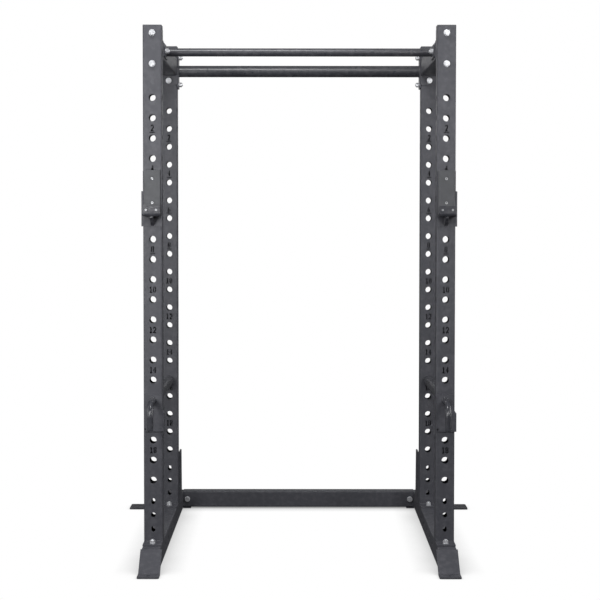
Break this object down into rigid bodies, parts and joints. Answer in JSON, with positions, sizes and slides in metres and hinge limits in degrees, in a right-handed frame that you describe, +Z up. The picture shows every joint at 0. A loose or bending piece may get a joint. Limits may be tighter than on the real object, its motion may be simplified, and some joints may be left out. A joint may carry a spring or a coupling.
{
  "type": "power cage",
  "caption": "Free-standing power cage of drilled square tube with a floor frame, pull-up bars, pull-off J-cups and pull-out pin-and-pipe safeties.",
  "frame": {"origin": "on the floor, at the centre of the footprint", "axes": "+Z up, -Y towards the front with the J-cups and the rod handles, +X to the right seen from the front"},
  "size_m": [1.586, 1.8263, 2.133],
  "materials": {
    "frame_coat": "fine-texture matt powder coat",
    "bar_coat": "satin powder coat",
    "rod_coat": "satin black",
    "zinc_steel": "bright zinc plate",
    "liner_screw": "bright zinc plate",
    "liner_plastic": "dense wear plastic",
    "cap_plastic": "moulded"
  },
  "bodies": {
    "frame": {"bar_bolts": "zinc_steel", "bar_nuts": "zinc_steel", "base_rail_left": "frame_coat", "base_rail_right": "frame_coat", "beam_bolts": "zinc_steel", "beam_nuts": "zinc_steel", "crossmember_bolts": "zinc_steel", "crossmember_nuts": "zinc_steel", "crossmember_seat_left": "frame_coat", "crossmember_seat_right": "frame_coat", "fat_bar_plate_left": "frame_coat", "fat_bar_plate_right": "frame_coat", "foot_bolts": "zinc_steel", "foot_flange_front_left": "frame_coat", "foot_flange_front_right": "frame_coat", "foot_flange_rear_left": "frame_coat", "foot_flange_rear_right": "frame_coat", "foot_nuts": "zinc_steel", "front_foot_left": "frame_coat", "front_foot_right": "frame_coat", "large_washers": "zinc_steel", "pull_up_bar_fat": "bar_coat", "pull_up_bar_thin": "bar_coat", "rail_end_caps": "cap_plastic", "rear_crossmember": "frame_coat", "rear_foot_left": "frame_coat", "rear_foot_right": "frame_coat", "rear_gusset_left": "frame_coat", "rear_gusset_right": "frame_coat", "side_beam_flanges_left": "frame_coat", "side_beam_flanges_right": "frame_coat", "side_beam_left": "frame_coat", "side_beam_right": "frame_coat", "small_washers": "zinc_steel", "thin_bar_plate_left": "frame_coat", "thin_bar_plate_right": "frame_coat", "upright_caps": "frame_coat", "upright_front_left": "frame_coat", "upright_front_right": "frame_coat", "upright_rear_left": "frame_coat", "upright_rear_right": "frame_coat"},
    "jcup_left": {"jcup_back_liner_left": "liner_plastic", "jcup_bracket_left": "frame_coat", "jcup_hook_left": "rod_coat", "jcup_pin_left": "rod_coat", "jcup_screws_left": "liner_screw", "jcup_tray_liner_left": "liner_plastic"},
    "jcup_right": {"jcup_back_liner_right": "liner_plastic", "jcup_bracket_right": "frame_coat", "jcup_hook_right": "rod_coat", "jcup_pin_right": "rod_coat", "jcup_screws_right": "liner_screw", "jcup_tray_liner_right": "liner_plastic"},
    "safety_left": {"safety_bracket_left": "frame_coat", "safety_rod_left": "rod_coat"},
    "safety_right": {"safety_bracket_right": "frame_coat", "safety_rod_right": "rod_coat"},
    "pipe_left": {"safety_pipe_left": "rod_coat"},
    "pipe_right": {"safety_pipe_right": "rod_coat"}
  },
  "joints": [
    {"name": "jcup_left_pull", "type": "slide", "parent": "frame", "child": "jcup_left", "axis": [0, -1, 0], "range_m": [0, 0.12]},
    {"name": "safety_left_pull", "type": "slide", "parent": "frame", "child": "safety_left", "axis": [0, -1, 0], "range_m": [0, 1.1]},
    {"name": "pipe_left_turn", "type": "hinge", "parent": "frame", "child": "pipe_left", "pos_m": [-0.5815, -0.0195, 0.6397], "axis": [0, 1, 0], "continuous": true},
    {"name": "jcup_right_pull", "type": "slide", "parent": "frame", "child": "jcup_right", "axis": [0, -1, 0], "range_m": [0, 0.12]},
    {"name": "safety_right_pull", "type": "slide", "parent": "frame", "child": "safety_right", "axis": [0, -1, 0], "range_m": [0, 1.1]},
    {"name": "pipe_right_turn", "type": "hinge", "parent": "frame", "child": "pipe_right", "pos_m": [0.5815, -0.0195, 0.6397], "axis": [0, 1, 0], "continuous": true}
  ]
}
